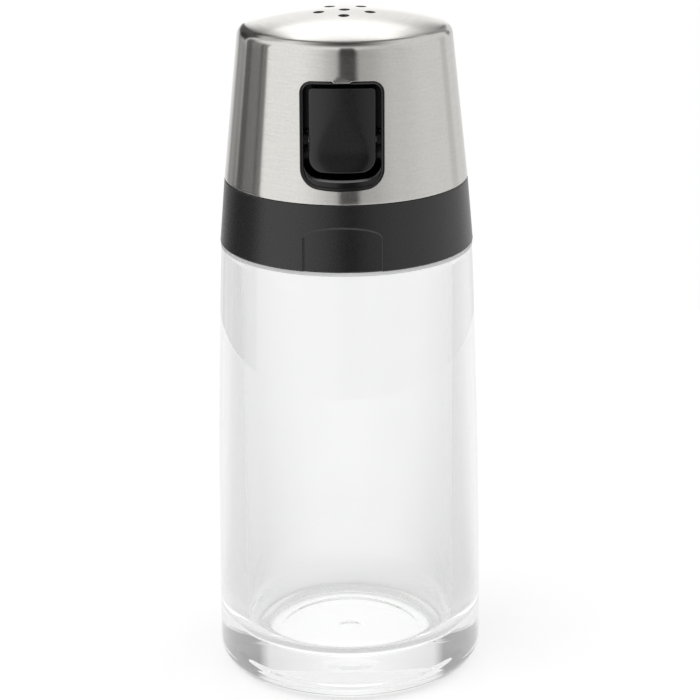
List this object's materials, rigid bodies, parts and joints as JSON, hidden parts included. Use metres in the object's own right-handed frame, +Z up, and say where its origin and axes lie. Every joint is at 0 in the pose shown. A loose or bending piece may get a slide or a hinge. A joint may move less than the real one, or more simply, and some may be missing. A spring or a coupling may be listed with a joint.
{
  "type": "table spice shaker dispenser",
  "caption": "Clear round jar with a screw-off domed steel cap that has shaker holes in its crown and a rocking pour spout in its front.",
  "frame": {"origin": "centre of the foot, on the plane that the jar stands on", "axes": "+Z up along the jar's axis; the pour spout faces -Y; +X to the right of someone who faces the spout"},
  "size_m": [0.058, 0.058, 0.1453],
  "materials": {
    "clear_jar": "clear, polished",
    "silicone": "matt translucent white",
    "black_plastic": "fine matt moulding",
    "soft_grip": "soft-touch matt",
    "brushed_dome": "brushed round the dome, satin",
    "gloss_black": "gloss",
    "spout_plastic": "fine satin",
    "axle_steel": "bright drawn"
  },
  "bodies": {
    "jar": {"jar": "clear_jar"},
    "seal": {"cap_seal": "silicone"},
    "cap": {"threaded_ring": "black_plastic", "collar_grip": "soft_grip", "dome_liner": "black_plastic", "steel_dome": "brushed_dome", "spout_bezel": "gloss_black", "spout_axle": "axle_steel"},
    "spout": {"pour_spout": "spout_plastic", "spout_pad": "silicone"}
  },
  "joints": [
    {"name": "cap_lift", "type": "slide", "parent": "jar", "child": "seal", "axis": [0, 0, 1], "range_m": [0, 0.018]},
    {"name": "cap_turn", "type": "hinge", "parent": "seal", "child": "cap", "pos_m": [0, 0, 0.1055], "axis": [0, 0, 1], "range_deg": [0, 540]},
    {"name": "spout_tilt", "type": "hinge", "parent": "cap", "child": "spout", "pos_m": [0, -0.02141, 0.12294], "axis": [1, 0, 0], "range_deg": [0, 35]}
  ],
  "couplings": [
    {"joint": "cap_lift", "follows": "cap_turn", "m_per_rad": 0.0019099}
  ]
}
